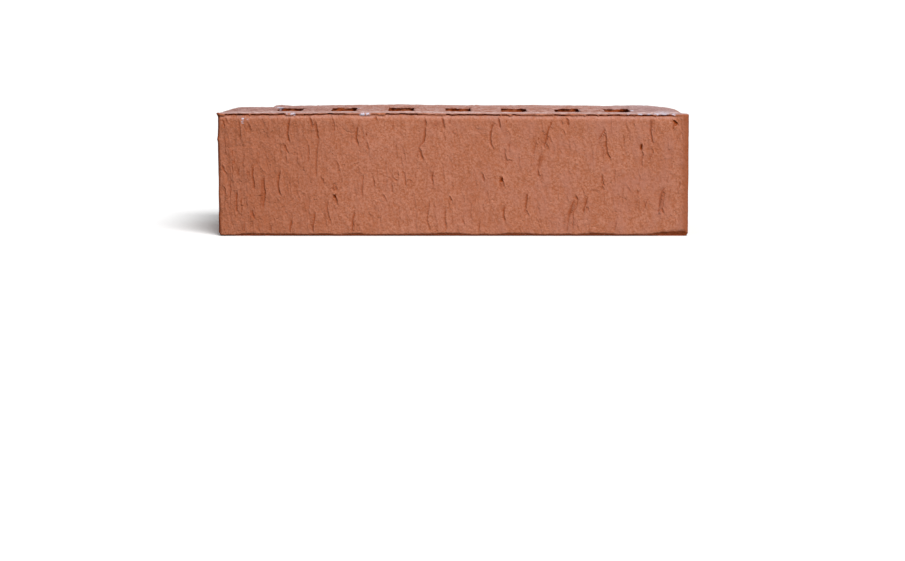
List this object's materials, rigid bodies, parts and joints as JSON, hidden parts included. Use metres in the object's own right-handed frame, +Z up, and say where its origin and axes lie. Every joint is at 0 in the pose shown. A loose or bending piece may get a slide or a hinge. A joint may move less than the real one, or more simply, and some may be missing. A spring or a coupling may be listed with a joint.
{
  "type": "perforated clinker facing brick",
  "caption": "Solid-fired rectangular facing brick with one row of transverse slots open from bed to bed and a textured stretcher face.",
  "frame": {"origin": "middle of the lower bed face, on the plane the brick lies on", "axes": "+X along the length, +Y from the facing stretcher side to the back, +Z up through the slots, from the lower bed to the upper bed"},
  "size_m": [0.25, 0.085, 0.065],
  "materials": {
    "fired_clay": "matte"
  },
  "bodies": {
    "root": {"brick": "fired_clay"}
  },
  "joints": []
}
